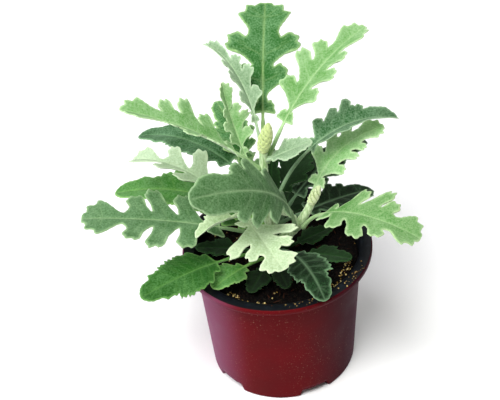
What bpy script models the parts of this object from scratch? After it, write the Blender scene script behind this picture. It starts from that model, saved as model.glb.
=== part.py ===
"""Dusty miller in its nursery pot: a leafy stem with two side shoots, potting soil and a thin plastic pot.

Lengths are in millimetres and angles in degrees in the values below; mesh data is in metres, +Z up.
The origin is the middle of the pot's flat underside, and the front of the plant looks along -Y.
"""

import math

import bmesh
import bpy
import numpy as np

MM = 0.001
# Space between neighbouring pieces.
FIT_GAP = 0.3

# The pot: a thin shell with a wide flat rim and five drain notches at the corner of wall and floor.
POT_HEIGHT = 80.0
POT_RIM_RADIUS = 52.5
POT_RIM_WIDTH = 5.0
POT_RIM_DROP = 3.2
POT_RIM_BEVEL = 0.5
POT_TOP_RADIUS = 46.4
POT_BASE_RADIUS = 41.2
POT_WALL = 1.1
POT_FLOOR = 1.4
POT_SIDES = 40
NOTCHES = 5
NOTCH_FIRST = -49.0
NOTCH_WIDTH = 19.0
NOTCH_HEIGHT = 5.8
NOTCH_DEPTH = 7.0
NOTCH_TOP_SHARE = 0.75

# The soil fills the pot to just below the rim, with a plain hole for the stem.
SOIL_TOP = 72.0
SOIL_LUMP = 1.3
SOIL_RINGS = 7
SOIL_SIDES = 28
SOIL_CLEARANCE = 0.5
STEM_HOLE_GAP = 0.4
STEM_HOLE_SIDES = 12

# The stem and its side shoots: points along each axis, and the radius at its two ends.
SHOOTS = {
    "main": ([(-1.6, -1.3, 64.0), (-3.0, -1.2, 100.0), (-4.4, -0.8, 125.0), (-3.8, 0.0, 145.5)], 3.3, 2.0),
    "right": ([(-1.6, -1.3, 82.0), (9.2, -3.0, 92.5), (16.0, -5.0, 104.5), (19.6, -5.0, 112.0)], 2.7, 2.1),
    "left": ([(-2.4, -1.3, 84.0), (-9.0, -3.5, 92.5), (-14.2, -6.0, 103.0), (-18.6, -7.5, 113.0)], 2.5, 1.9),
}
STEM_SIDES = 8

# The growing tips: the shoot below, height, widest radius, and lean along X and Y.
GROWING_TIPS = {
    "growing_tip_main": ("main", 19.0, 3.5, 3.6, 0.0),
    "growing_tip_right": ("right", 14.0, 2.7, 4.5, -2.0),
    "growing_tip_left": ("left", 7.0, 2.3, -1.5, -1.0),
}
TIP_GAP = 0.7
TIP_ROWS = 9
TIP_SIDES = 10
TIP_BUMP = 0.10

# Leaf thickness at the edge and at the rib, and the size of the leaf stalk.
LEAF_EDGE = 0.8
LEAF_RIB = 1.5
PETIOLE_WIDTH = 2.3
PETIOLE_THICKNESS = 2.0

# Outline of one lobe: share of its length, share of its half width.
LOBE_SHAPES = {
    "oak": [
        (0.62, -0.82), (0.82, -1.04), (0.95, -0.66), (0.92, -0.26),
        (1.00, 0.16), (0.93, 0.58), (0.84, 0.96), (0.62, 0.82),
    ],
    "blunt": [(0.82, -0.95), (0.96, -0.70), (1.00, 0.00), (0.96, 0.70), (0.84, 0.90)],
    "wavy": [(0.96, -0.62), (1.00, 0.00), (0.96, 0.62)],
}
# Outline of the end lobe: angle from the rib, share of its radius.
END_SHAPES = {
    "oak": [(88, 0.84), (70, 1.04), (56, 0.88), (40, 1.06), (24, 0.90), (13, 1.00), (0, 1.00)],
    "blunt": [(80, 0.92), (55, 1.00), (38, 0.94), (18, 1.00), (0, 1.00)],
    "wavy": [(76, 0.96), (48, 1.00), (22, 0.99), (0, 1.00)],
}

# Feet of the lobes along the blade: where the first is, the room they share, and the end lobe's foot.
FIRST_FOOT = 0.02
LOBE_ROOM = {"oak": 0.70, "blunt": 0.62, "wavy": 0.62}
END_FOOT = {"oak": 0.82, "blunt": 0.74, "wavy": 0.74}
# How much narrower a leaf is at its lowest lobes and at its highest, and the end lobe's width against those.
LOW_NARROWING = {"oak": 0.68, "blunt": 0.60, "wavy": 0.50}
HIGH_NARROWING = 0.30
END_WIDTH = 0.80
# A lobe's half width is at most this share of its length.
LOBE_STOUTNESS = 0.60
# How far the slant changes along the leaf, and how far a lobe's reach and slant stray.
SLANT_CHANGE = 10.0
REACH_STRAY = 0.08
SLANT_STRAY = 3.0
# Steps along a leaf's rib, where the lobes' droop stops growing, and the first leaf's random seed.
RIB_STEPS = 60
DROOP_LIMIT = 1.2
FIRST_SEED = 100

# One row for each leaf: what it grows from and how high, its direction, and its outline.
#  shoot, height: the shoot and the height of the joint; heading: 0 is +X, 90 is away from the front
#  rise, end: slope at the stem and at the tip; turn: change of heading; roll: turn about the rib
#  length, stalk: whole length and the stalk's share; half_width, widest: half width, and where along the lobes
#  fold: lift of each half; curl: droop of the lobes; pairs, cut: lobe pairs and the depth of the cuts
#  slant, fill: angle of the lobes to the rib and how much of the room they take; shape: kind of lobe
LEAF_FIELDS = (
    "shoot", "height", "heading", "rise", "end", "turn", "roll", "length", "stalk", "half_width",
    "widest", "fold", "curl", "pairs", "cut", "slant", "fill", "shape",
)
LEAF_ROWS = {
    "top": ("main", 134, 86, 59, 22, -3, 0, 91, 0.31, 19, 1.3, 8, 0.05, 3, 0.48, 68, 0.92, "oak"),
    "upper_right": ("main", 138, 45, 57, 8, -8, 0, 91, 0.24, 15, 0.7, 18, 0, 4, 0.50, 56, 0.88, "oak"),
    "upper_left": ("main", 141, 105, 84, -13, 22, 0, 77, 0.24, 9, 0.5, 45, 0, 4, 0.36, 60, 0.80, "oak"),
    "left_upright": ("main", 118, 126, 48, 82, 8, 0, 64, 0.34, 10, 0.5, 30, 0, 4, 0.40, 60, 0.86, "oak"),
    "left": ("main", 136, 202, 55, 22, -18, 0, 87, 0.22, 17, 0.6, 26, 0, 4, 0.42, 56, 0.88, "oak"),
    "left_back": ("main", 112, 128, 34, -22, 28, 0, 91, 0.30, 13, 0.5, 10, 0, 6, 0.15, 62, 0.92, "wavy"),
    "left_pale": ("left", 107, 151, 56, -26, -3, 0, 75, 0.20, 15, 0.6, 25, 0, 3, 0.70, 58, 0.66, "oak"),
    "left_bright": ("main", 94, 139.6, 16, -12, 38, 0, 93, 0.32, 16, 0.5, 8, 0, 6, 0.12, 64, 0.92, "wavy"),
    "left_long": ("left", 95, 186, 25, 3, -6, -3, 93, 0.20, 27, 0.6, 5, 0, 4, 0.62, 72, 0.85, "oak"),
    "centre": ("right", 97, 245, 84, -5, -52, 44, 92, 0.24, 18, 0.85, -5, 0.05, 4, 0.30, 60, 0.92, "blunt"),
    "front_left": ("main", 78.8, 212, 24, -12, -4, 0, 80, 0.42, 17, 0.4, 5, 0.05, 6, 0.08, 66, 0.95, "wavy"),
    "front_left_small": ("main", 75.4, 225, 24, -6, -2, 0, 44, 0.45, 10, 0.5, 8, 0, 4, 0.15, 64, 0.92, "wavy"),
    "front_pale": ("left", 110, 289, 13, -20, 12, 0, 46, 0.10, 21, 0.5, 5, 0, 3, 0.55, 60, 0.82, "oak"),
    "front_right": ("main", 79.2, 303, 44, -32, -14, 0, 57, 0.35, 12, 0.45, 8, 0, 5, 0.10, 64, 0.92, "wavy"),
    "right": ("right", 100, 308, 61, -23, 25, 0, 84, 0.30, 21, 0.6, 8, 0, 4, 0.50, 62, 0.92, "oak"),
    "right_middle": ("right", 104, 58, 62, 4, -50, 0, 66, 0.24, 16, 0.6, 8, 0, 4, 0.44, 62, 0.78, "oak"),
    "right_back": ("main", 105, 28, 76, -27, -10, 0, 95, 0.42, 13, 0.6, 32, 0, 5, 0.22, 60, 0.92, "blunt"),
    "centre_grey": ("main", 141, -12, 30, 12, 30, 0, 25, 0.08, 9, 0.4, 10, 0, 4, 0.15, 60, 0.92, "wavy"),
    "curled_right": ("right", 100, 175, 80, -62, 0, 0, 13, 0.20, 4.5, 0.5, 25, 0, 3, 0.15, 64, 0.92, "wavy"),
    "curled_left": ("left", 112, 214, 16, -20, 0, 0, 27, 0.12, 7.5, 0.5, 50, 0, 4, 0.15, 64, 0.92, "wavy"),
    "back_right_high": ("main", 94, 26, 8, -20, 10, 0, 66, 0.30, 15, 0.6, 5, 0, 4, 0.25, 60, 0.92, "blunt"),
    "back_right_low": ("main", 88.5, 52, 42, -8, -22, 0, 78, 0.30, 13, 0.6, 5, 0, 4, 0.22, 62, 0.88, "blunt"),
    "right_centre": ("main", 99, 58, 42, 10, 0, 0, 50, 0.30, 11, 0.5, 5, 0, 4, 0.20, 60, 0.92, "blunt"),
    "centre_narrow": ("main", 94, 82, 62, 56, 0, 0, 42, 0.30, 6, 0.5, 20, 0, 4, 0.12, 60, 0.92, "wavy"),
    "soil_left": ("main", 75.4, 172, 12, 2, 8, 0, 40, 0.40, 8, 0.5, 5, 0, 4, 0.12, 64, 0.92, "wavy"),
    "soil_front": ("main", 78.2, 250, -2, -6, -10, 0, 31, 0.40, 7.5, 0.5, 5, 0, 4, 0.12, 64, 0.92, "wavy"),
    "soil_front_right": ("main", 75.4, 280, 6, 4, 0, 0, 29, 0.40, 6.5, 0.5, 5, 0, 4, 0.12, 64, 0.92, "wavy"),
    "soil_right": ("main", 75.4, 22, 8, -2, 8, 0, 34, 0.35, 7, 0.5, 5, 0, 4, 0.12, 64, 0.92, "wavy"),
    "soil_right_long": ("main", 75.4, 344, 12, 6, -12, 0, 42, 0.40, 8, 0.5, 5, 0, 4, 0.12, 64, 0.92, "wavy"),
    "left_middle": ("main", 87, 132, 22, -16, 34, 0, 50, 0.35, 10, 0.5, 5, 0, 4, 0.15, 64, 0.92, "wavy"),
    "back_left": ("main", 106, 114, 48, 4, -4, 0, 72, 0.38, 11, 0.5, 5, 0, 5, 0.20, 60, 0.92, "blunt"),
    "back_low": ("main", 84.5, 100, 18, -14, -6, 0, 60, 0.35, 14, 0.5, 5, 0, 4, 0.20, 62, 0.92, "blunt"),
    "back_middle": ("main", 91.5, 108, 32, -8, -10, 0, 58, 0.30, 13, 0.5, 8, 0, 4, 0.40, 60, 0.85, "oak"),
    "back_low_left": ("main", 75.8, 126, 26, -6, 14, 0, 50, 0.35, 12, 0.5, 5, 0, 4, 0.20, 62, 0.92, "wavy"),
    "back_low_right": ("main", 75.8, 76, 26, -6, -4, 0, 50, 0.35, 12, 0.5, 5, 0, 4, 0.20, 62, 0.92, "wavy"),
}


def clear_scene():
    for item in list(bpy.data.objects):
        bpy.data.objects.remove(item, do_unlink=True)


def make_material(name, colour, roughness):
    material = bpy.data.materials.new(name)
    material.use_nodes = True
    shader = material.node_tree.nodes["Principled BSDF"]
    shader.inputs["Base Color"].default_value = (*colour, 1.0)
    shader.inputs["Roughness"].default_value = roughness
    shader.inputs["Metallic"].default_value = 0.0
    return material


def add_object(name, verts, faces, material):
    """One object from points in millimetres and faces, with its normals pointing out."""
    mesh = bpy.data.meshes.new(name)
    mesh.from_pydata([tuple(float(c) * MM for c in v) for v in verts], [], faces)
    form = bmesh.new()
    form.from_mesh(mesh)
    bmesh.ops.recalc_face_normals(form, faces=form.faces[:])
    form.to_mesh(mesh)
    form.free()
    mesh.materials.append(material)
    thing = bpy.data.objects.new(name, mesh)
    bpy.context.scene.collection.objects.link(thing)
    return thing


def apply_boolean(target, other, operation):
    """Joins other to target, or cuts it from target, and removes other."""
    modifier = target.modifiers.new(operation.title(), "BOOLEAN")
    modifier.operation = operation
    modifier.object = other
    modifier.solver = "EXACT"
    bpy.context.view_layer.update()
    evaluated = target.evaluated_get(bpy.context.evaluated_depsgraph_get())
    result = bpy.data.meshes.new_from_object(evaluated)
    target.modifiers.clear()
    target.data = result
    bpy.data.objects.remove(other, do_unlink=True)


def turned(profile, sides):
    """Points and faces of a profile of (radius, height) turned about Z, with a flat cap at each end."""
    angles = np.arange(sides) * 2 * math.pi / sides
    verts = [(r * math.cos(a), r * math.sin(a), z) for r, z in profile for a in angles]
    faces = []
    for k in range(len(profile) - 1):
        for i in range(sides):
            j = (i + 1) % sides
            faces.append((k * sides + i, k * sides + j, (k + 1) * sides + j, (k + 1) * sides + i))
    faces.append(tuple(range(sides)))
    last = (len(profile) - 1) * sides
    faces.append(tuple(last + i for i in range(sides)))
    return verts, faces


def build_pot(material):
    rim_inner = POT_RIM_RADIUS - POT_RIM_WIDTH
    under_rim = POT_HEIGHT - POT_WALL
    profile = [
        (POT_BASE_RADIUS, 0.0),
        (POT_TOP_RADIUS, under_rim),
        (POT_RIM_RADIUS - POT_WALL, under_rim),
        (POT_RIM_RADIUS - POT_WALL, POT_HEIGHT - POT_RIM_DROP),
        (POT_RIM_RADIUS, POT_HEIGHT - POT_RIM_DROP),
        (POT_RIM_RADIUS, POT_HEIGHT - POT_RIM_BEVEL),
        (POT_RIM_RADIUS - POT_RIM_BEVEL, POT_HEIGHT),
        (rim_inner, POT_HEIGHT),
        (POT_TOP_RADIUS - POT_WALL, POT_HEIGHT - POT_WALL - POT_RIM_BEVEL),
        (POT_BASE_RADIUS - POT_WALL, POT_FLOOR),
    ]
    pot = add_object("pot", *turned(profile, POT_SIDES), material)
    for k in range(NOTCHES):
        angle = math.radians(NOTCH_FIRST - 90.0 + k * 360.0 / NOTCHES)
        cutter = add_object("notch", *box_points(
            (POT_BASE_RADIUS - NOTCH_DEPTH, -NOTCH_WIDTH / 2, -1.0),
            (POT_BASE_RADIUS + NOTCH_DEPTH, NOTCH_WIDTH / 2, NOTCH_HEIGHT),
            angle,
        ), material)
        apply_boolean(pot, cutter, "DIFFERENCE")


def box_points(low, high, angle):
    """A box between two corners, turned about Z, that is narrower at the top."""
    verts = []
    for z, share in ((low[2], 1.0), (high[2], NOTCH_TOP_SHARE)):
        for x, y in ((low[0], low[1]), (high[0], low[1]), (high[0], high[1]), (low[0], high[1])):
            y *= share
            turned_x = x * math.cos(angle) - y * math.sin(angle)
            turned_y = x * math.sin(angle) + y * math.cos(angle)
            verts.append((turned_x, turned_y, z))
    faces = [(0, 1, 2, 3), (4, 5, 6, 7), (0, 1, 5, 4), (1, 2, 6, 5), (2, 3, 7, 6), (3, 0, 4, 7)]
    return verts, faces


def wall_radius(z):
    """Inner radius of the pot at height z."""
    share = (z - POT_FLOOR) / (POT_HEIGHT - POT_FLOOR)
    return POT_BASE_RADIUS + (POT_TOP_RADIUS - POT_BASE_RADIUS) * share - POT_WALL


def build_soil(material):
    """A lumpy filling that follows the pot's inner wall."""
    rng = np.random.default_rng(3)
    bottom = POT_FLOOR + FIT_GAP
    verts = [(0.0, 0.0, SOIL_TOP)]
    angles = np.arange(SOIL_SIDES) * 2 * math.pi / SOIL_SIDES
    top_radius = wall_radius(SOIL_TOP - SOIL_LUMP) - SOIL_CLEARANCE
    for ring in range(1, SOIL_RINGS + 1):
        radius = top_radius * ring / SOIL_RINGS
        for a in angles:
            lump = rng.uniform(-SOIL_LUMP, SOIL_LUMP) if ring < SOIL_RINGS else -SOIL_LUMP
            verts.append((radius * math.cos(a), radius * math.sin(a), SOIL_TOP + lump))
    radius = wall_radius(bottom) - SOIL_CLEARANCE
    verts += [(radius * math.cos(a), radius * math.sin(a), bottom) for a in angles]
    faces = [(0, 1 + i, 1 + (i + 1) % SOIL_SIDES) for i in range(SOIL_SIDES)]
    for ring in range(SOIL_RINGS):
        for i in range(SOIL_SIDES):
            j = (i + 1) % SOIL_SIDES
            a, b = 1 + ring * SOIL_SIDES + i, 1 + ring * SOIL_SIDES + j
            c, d = a + SOIL_SIDES, b + SOIL_SIDES
            faces += [(a, c, d), (a, d, b)]
    faces.append(tuple(1 + SOIL_RINGS * SOIL_SIDES + i for i in range(SOIL_SIDES)))
    soil = add_object("soil", verts, faces, material)
    points, radius, _ = SHOOTS["main"]
    low, high = np.array(points[0]), np.array(points[1])
    lean = (high - low) / (high - low)[2]
    foot = low - lean * STEM_HOLE_GAP
    mouth = low + lean * (POT_HEIGHT - low[2])
    hole_radii = [radius + STEM_HOLE_GAP, radius + STEM_HOLE_GAP]
    hole = add_object("stem_hole", *tube([foot, mouth], hole_radii, STEM_HOLE_SIDES), material)
    apply_boolean(soil, hole, "DIFFERENCE")


def tube(points, radii, sides):
    """A closed tube round a path, with flat ends."""
    points = [np.array(p, float) for p in points]
    verts, faces = [], []
    for k, point in enumerate(points):
        ahead = points[min(k + 1, len(points) - 1)] - points[max(k - 1, 0)]
        ahead /= np.linalg.norm(ahead)
        side = np.cross(ahead, (0.0, 1.0, 0.0))
        side /= np.linalg.norm(side)
        other = np.cross(ahead, side)
        for i in range(sides):
            a = 2 * math.pi * i / sides
            verts.append(point + radii[k] * (side * math.cos(a) + other * math.sin(a)))
    for k in range(len(points) - 1):
        for i in range(sides):
            j = (i + 1) % sides
            faces.append((k * sides + i, k * sides + j, (k + 1) * sides + j, (k + 1) * sides + i))
    faces.append(tuple(range(sides)))
    last = (len(points) - 1) * sides
    faces.append(tuple(last + i for i in range(sides)))
    return verts, faces


def shoot_point(shoot, height):
    """Axis point, unit axis and radius of a shoot at a height."""
    points, low_radius, high_radius = SHOOTS[shoot]
    points = np.array(points)
    place = np.array([np.interp(height, points[:, 2], points[:, k]) for k in range(3)])
    k = min(max(int(np.searchsorted(points[:, 2], height)), 1), len(points) - 1)
    axis = points[k] - points[k - 1]
    share = (height - points[0, 2]) / (points[-1, 2] - points[0, 2])
    return place, axis / np.linalg.norm(axis), low_radius + (high_radius - low_radius) * share


def build_stem(material):
    """The main stem with its side shoots joined to it."""
    pieces = []
    for shoot, (points, low_radius, high_radius) in SHOOTS.items():
        points = np.array(points)
        share = (points[:, 2] - points[0, 2]) / (points[-1, 2] - points[0, 2])
        radii = low_radius + (high_radius - low_radius) * share
        pieces.append(add_object(shoot, *tube(points, radii, STEM_SIDES), material))
    stem = pieces[0]
    stem.name = "stem"
    for piece in pieces[1:]:
        apply_boolean(stem, piece, "UNION")


def build_growing_tip(name, shoot, height, radius, lean_x, lean_y, material):
    """An egg of young folded leaves: rows of bumps round an axis that leans with the shoot."""
    points, _, _ = SHOOTS[shoot]
    foot = np.array(points[-1]) + np.array((0.0, 0.0, TIP_GAP))
    verts = [tuple(foot)]
    for k in range(1, TIP_ROWS):
        u = k / TIP_ROWS
        swell = math.sin(math.pi * u ** 0.75) ** 0.6
        for i in range(TIP_SIDES):
            a = 2 * math.pi * i / TIP_SIDES
            r = radius * swell * (1.0 + TIP_BUMP * math.cos(math.pi * (i + k)))
            verts.append((
                foot[0] + lean_x * u + r * math.cos(a),
                foot[1] + lean_y * u + r * math.sin(a),
                foot[2] + height * u,
            ))
    verts.append((foot[0] + lean_x, foot[1] + lean_y, foot[2] + height))
    top = len(verts) - 1
    faces = [(0, 1 + i, 1 + (i + 1) % TIP_SIDES) for i in range(TIP_SIDES)]
    for k in range(TIP_ROWS - 2):
        for i in range(TIP_SIDES):
            j = (i + 1) % TIP_SIDES
            a, b = 1 + k * TIP_SIDES + i, 1 + k * TIP_SIDES + j
            faces += [(a, b, b + TIP_SIDES), (a, b + TIP_SIDES, a + TIP_SIDES)]
    faces += [(top, top - TIP_SIDES + i, top - TIP_SIDES + (i + 1) % TIP_SIDES) for i in range(TIP_SIDES)]
    add_object(name, verts, faces, material)


def lobe_reach(leaf, share):
    """Half width of the leaf at a share of the way along its lobes: a parabola to each side of the widest."""
    widest = leaf["widest"]
    if share < widest:
        narrowing = LOW_NARROWING[leaf["shape"]]
        return leaf["half_width"] * (1.0 - narrowing * ((widest - share) / widest) ** 2)
    return leaf["half_width"] * (1.0 - HIGH_NARROWING * ((share - widest) / max(1.0 - widest, 0.2)) ** 2)


def leaf_outline(leaf, rng):
    """Stations along the rib, and each half's outline as (station number, along, across).

    A lobe is drawn from its foot on the rib, at a slant. The cut after it lies halfway to the next foot.
    """
    length = leaf["length"]
    start = leaf["stalk"] * length
    blade = length - start
    pairs = leaf["pairs"]
    spacing = LOBE_ROOM[leaf["shape"]] * blade / pairs
    stalk_stations = [0.0, 0.35 * start, 0.75 * start]
    feet = [start + FIRST_FOOT * blade + spacing * k for k in range(pairs)]
    end_foot = start + END_FOOT[leaf["shape"]] * blade
    feet.append(end_foot)
    stations = stalk_stations + feet
    halves = []
    for side in (1, -1):
        half = PETIOLE_WIDTH / 2
        outline = [(k, stalk_stations[k], half) for k in range(3)]
        outline.append((3, start, half))
        for k in range(pairs):
            share = k / (pairs - 1)
            reach = lobe_reach(leaf, share) * (1.0 + REACH_STRAY * rng.uniform(-1, 1))
            slant = leaf["slant"] + SLANT_CHANGE * (0.5 - share) + SLANT_STRAY * rng.uniform(-1, 1)
            slant = math.radians(slant)
            along, across = math.cos(slant), math.sin(slant)
            lobe = reach / across
            width = min(0.5 * leaf["fill"] * spacing * across, LOBE_STOUTNESS * lobe)
            for u, v in LOBE_SHAPES[leaf["shape"]]:
                a = feet[k] + u * lobe * along + v * width * across
                b = u * lobe * across - v * width * along
                outline.append((3 + k, a, b))
            depth = (1.0 - leaf["cut"]) * lobe
            middle = (feet[k] + feet[k + 1]) / 2
            outline.append((3 + k, middle + depth * along, depth * across))
        radius = length - end_foot
        spread = END_WIDTH * lobe_reach(leaf, 1.0) / radius
        for angle, share in END_SHAPES[leaf["shape"]]:
            a = math.radians(angle)
            reach = share * radius
            outline.append((3 + pairs, end_foot + reach * math.cos(a), reach * math.sin(a) * spread))
        halves.append([(k, a, side * b) for k, a, b in outline])
    return stations, halves


class Rib:
    """The leaf's middle line in space, with its side and up directions at every length along it."""

    def __init__(self, leaf):
        s = np.linspace(0.0, 1.0, RIB_STEPS + 1)
        heading = np.radians(leaf["heading"] + leaf["turn"] * s)
        slope = np.radians(leaf["rise"] + (leaf["end"] - leaf["rise"]) * s)
        roll = np.radians(leaf["roll"] * np.clip(s / max(leaf["stalk"], 0.05), 0.0, 1.0))
        flat = np.stack([np.cos(heading), np.sin(heading), np.zeros_like(heading)], -1)
        ahead = flat * np.cos(slope)[:, None]
        ahead[:, 2] = np.sin(slope)
        side = np.stack([flat[:, 1], -flat[:, 0], flat[:, 2]], -1)
        up = np.cross(side, ahead)
        self.side = side * np.cos(roll)[:, None] + up * np.sin(roll)[:, None]
        self.up = up * np.cos(roll)[:, None] - side * np.sin(roll)[:, None]
        self.length = leaf["length"]
        place, axis, radius = shoot_point(leaf["shoot"], leaf["height"])
        outward = flat[0] - axis * flat[0].dot(axis)
        outward /= np.linalg.norm(outward)
        depth = abs(self.up[0].dot(outward)) * PETIOLE_THICKNESS / 2
        depth += abs(self.side[0].dot(outward)) * PETIOLE_WIDTH / 2
        base = place + outward * (radius + FIT_GAP + depth)
        steps = (ahead[1:] + ahead[:-1]) / 2 * self.length / RIB_STEPS
        self.points = np.vstack([base, base + np.cumsum(steps, 0)])

    def at(self, along):
        """Point, side direction and up direction at a length along the leaf."""
        x = along / self.length * RIB_STEPS
        k = int(min(max(math.floor(x), 0), RIB_STEPS - 1))
        w = x - k
        mix = [(1 - w) * field[k] + w * field[k + 1] for field in (self.points, self.side, self.up)]
        return mix[0], mix[1], mix[2] / np.linalg.norm(mix[2])


def build_leaf(name, leaf, seed, material):
    """Two sheets with the same triangles, a blade's thickness apart, joined by walls along the outline."""
    stations, halves = leaf_outline(leaf, np.random.default_rng(seed))
    rib = Rib(leaf)
    fold = math.radians(leaf["fold"])
    start = leaf["stalk"] * leaf["length"]
    blade = leaf["length"] - start
    top, bottom = [], []

    def place(along, across, thickness):
        point, side, up = rib.at(along)
        lift = 0.0
        if along >= start:
            spread = min(abs(across) / leaf["half_width"], DROOP_LIMIT)
            lift = abs(across) * math.sin(fold) - leaf["curl"] * leaf["half_width"] * spread ** 2
        middle = point + side * (across * math.cos(fold)) + up * lift
        top.append(middle + up * thickness / 2)
        bottom.append(middle - up * thickness / 2)

    for along in stations:
        share = min(max(2 * (along - 0.6 * start) / blade, 0.0), 1.0)
        place(along, 0.0, PETIOLE_THICKNESS + (LEAF_RIB - PETIOLE_THICKNESS) * share)
    numbers = []
    for outline in halves:
        numbers.append([])
        for index, (station, along, across) in enumerate(outline):
            numbers[-1].append(len(top))
            if station < 2:
                place(along, across, PETIOLE_THICKNESS)
            elif index < 4:
                place(along, across, (PETIOLE_THICKNESS + LEAF_EDGE) / 2)
            elif outline is halves[0] or index < len(outline) - 1:
                place(along, across, LEAF_EDGE)
    # Both halves end at the same tip.
    numbers[1][-1] = numbers[0][-1]

    count = len(top)
    faces = []

    def both(a, b, c):
        faces.append((a, b, c))
        faces.append((count + c, count + b, count + a))

    for outline, points in zip(halves, numbers):
        for j in range(len(points) - 1):
            a, b = points[j], points[j + 1]
            station, next_station = outline[j][0], outline[j + 1][0]
            for step in range(station, next_station):
                both(step, a, step + 1)
            both(next_station, a, b)
            faces.append((a, b, count + b))
            faces.append((a, count + b, count + a))
    right, left = numbers[0][0], numbers[1][0]
    faces += [(0, right, count + right), (0, count + right, count)]
    faces += [(0, count, count + left), (0, count + left, left)]
    add_object(name, top + bottom, faces, material)


def main():
    clear_scene()
    plastic = make_material("pot_plastic", (0.18, 0.02, 0.03), 0.45)
    earth = make_material("potting_soil", (0.012, 0.008, 0.006), 0.95)
    stalk = make_material("felted_stem", (0.45, 0.55, 0.30), 0.9)
    felt = make_material("felted_leaf", (0.22, 0.40, 0.20), 0.9)
    build_pot(plastic)
    build_soil(earth)
    build_stem(stalk)
    for name, (shoot, height, radius, lean_x, lean_y) in GROWING_TIPS.items():
        build_growing_tip(name, shoot, height, radius, lean_x, lean_y, stalk)
    for seed, (name, row) in enumerate(LEAF_ROWS.items()):
        build_leaf("leaf_" + name, dict(zip(LEAF_FIELDS, row)), FIRST_SEED + seed, felt)


main()
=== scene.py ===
"""Looks of a dusty miller in its nursery pot: camera, studio, pot, soil, stem, buds and leaves, in order.

Sizes are in millimetres and angles in degrees; meshes are turned into metres where they are made.
"""

import math

import bmesh
import bpy
import numpy as np
from mathutils import Matrix, Vector


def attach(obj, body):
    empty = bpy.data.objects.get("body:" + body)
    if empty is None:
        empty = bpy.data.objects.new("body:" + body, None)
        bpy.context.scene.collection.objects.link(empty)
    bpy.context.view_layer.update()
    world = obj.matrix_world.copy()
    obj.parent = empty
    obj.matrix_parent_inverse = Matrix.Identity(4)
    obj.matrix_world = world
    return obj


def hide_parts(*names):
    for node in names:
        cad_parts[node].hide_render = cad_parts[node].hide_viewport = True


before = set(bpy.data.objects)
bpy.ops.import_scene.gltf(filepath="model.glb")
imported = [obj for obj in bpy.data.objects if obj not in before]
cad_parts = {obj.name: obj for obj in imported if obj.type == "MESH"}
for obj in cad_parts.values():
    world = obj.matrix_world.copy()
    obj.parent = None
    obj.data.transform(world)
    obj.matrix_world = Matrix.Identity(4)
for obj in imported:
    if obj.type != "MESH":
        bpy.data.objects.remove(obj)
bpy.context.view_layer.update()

# The camera stands in front of the plant and looks down on it, as a seller's photograph does.
# It is tilted a little to one side, because it was held by hand, and its lens is a short telephoto.
MM = 0.001
CAMERA_TARGET = Vector((0.0, 0.0, 80.0))
CAMERA_DISTANCE = 700.0
CAMERA_HEIGHT_ANGLE = 41.63
CAMERA_YAW = 1.4
CAMERA_PITCH = 39.51
CAMERA_ROLL = -4.88
CAMERA_LENS = 91.07
SENSOR_WIDTH = 36.0

raised = math.radians(CAMERA_HEIGHT_ANGLE)
camera_place = CAMERA_TARGET + CAMERA_DISTANCE * Vector((0.0, -math.cos(raised), math.sin(raised)))
yaw, pitch, roll = math.radians(CAMERA_YAW), math.radians(CAMERA_PITCH), math.radians(CAMERA_ROLL)
forward = Vector((-math.sin(yaw) * math.cos(pitch), math.cos(yaw) * math.cos(pitch), -math.sin(pitch)))
level_right = forward.cross(Vector((0.0, 0.0, 1.0))).normalized()
level_up = level_right.cross(forward)
camera_right = level_right * math.cos(roll) + level_up * math.sin(roll)
camera_up = level_up * math.cos(roll) - level_right * math.sin(roll)
camera_data = bpy.data.cameras.new("camera")
camera_data.lens = CAMERA_LENS
camera_data.sensor_width = SENSOR_WIDTH
camera_data.clip_start = 0.01
camera = bpy.data.objects.new("camera", camera_data)
camera_turn = Matrix((camera_right, camera_up, -forward)).transposed()
camera.matrix_world = Matrix.Translation(camera_place * MM) @ camera_turn.to_4x4()
bpy.context.scene.collection.objects.link(camera)
bpy.context.scene.camera = camera
bpy.context.scene.view_settings.view_transform = "Standard"


# The room is a white studio, brighter on the left: a large lamp high in front, a lavender one low at the left
# and a large one behind on the right, over a seamless sheet of matt white paper that the pot stands on.
def linear(hex_colour):
    """An sRGB hex colour as linear red, green, blue and an alpha of 1.

    A channel c above 0.04045 becomes ((c + 0.055) / 1.055) ** 2.4, and a lower one c / 12.92.
    """
    channels = [int(hex_colour[i:i + 2], 16) / 255 for i in (1, 3, 5)]
    return tuple(c / 12.92 if c <= 0.04045 else ((c + 0.055) / 1.055) ** 2.4 for c in channels) + (1.0,)


def feed(node, inputs):
    """Sets a node's inputs: each takes a value, a socket to link from, or a node, whose result is linked."""
    for name, value in inputs.items():
        if isinstance(value, bpy.types.Node):
            value = next(socket for socket in value.outputs if socket.enabled)
        if isinstance(value, bpy.types.NodeSocket):
            node.id_data.links.new(value, node.inputs[name])
        else:
            node.inputs[name].default_value = value


def add_node(tree, kind, inputs, **settings):
    """A node of a tree, with settings, and a value or a link for each input. A Mix node mixes colours."""
    node = tree.nodes.new("ShaderNode" + kind)
    if kind == "Mix":
        node.data_type = "RGBA"
    for name, value in settings.items():
        setattr(node, name, value)
    feed(node, inputs)
    return node


def new_material(name, colour, roughness, constants):
    """A Principled material with plain values on its shader; its tree, shader and Object coordinates."""
    material = bpy.data.materials.new(name)
    material.use_nodes = True
    tree = material.node_tree
    shader = tree.nodes["Principled BSDF"]
    feed(shader, {"Base Color": linear(colour), "Roughness": roughness} | constants)
    return material, tree, shader, add_node(tree, "TexCoord", {}).outputs["Object"]


PAPER = "#fbfbfa"
FLOOR_HALF = 3000.0
ROOM_LIGHT_LEFT = 0.46
ROOM_LIGHT_RIGHT = 0.12
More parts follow.
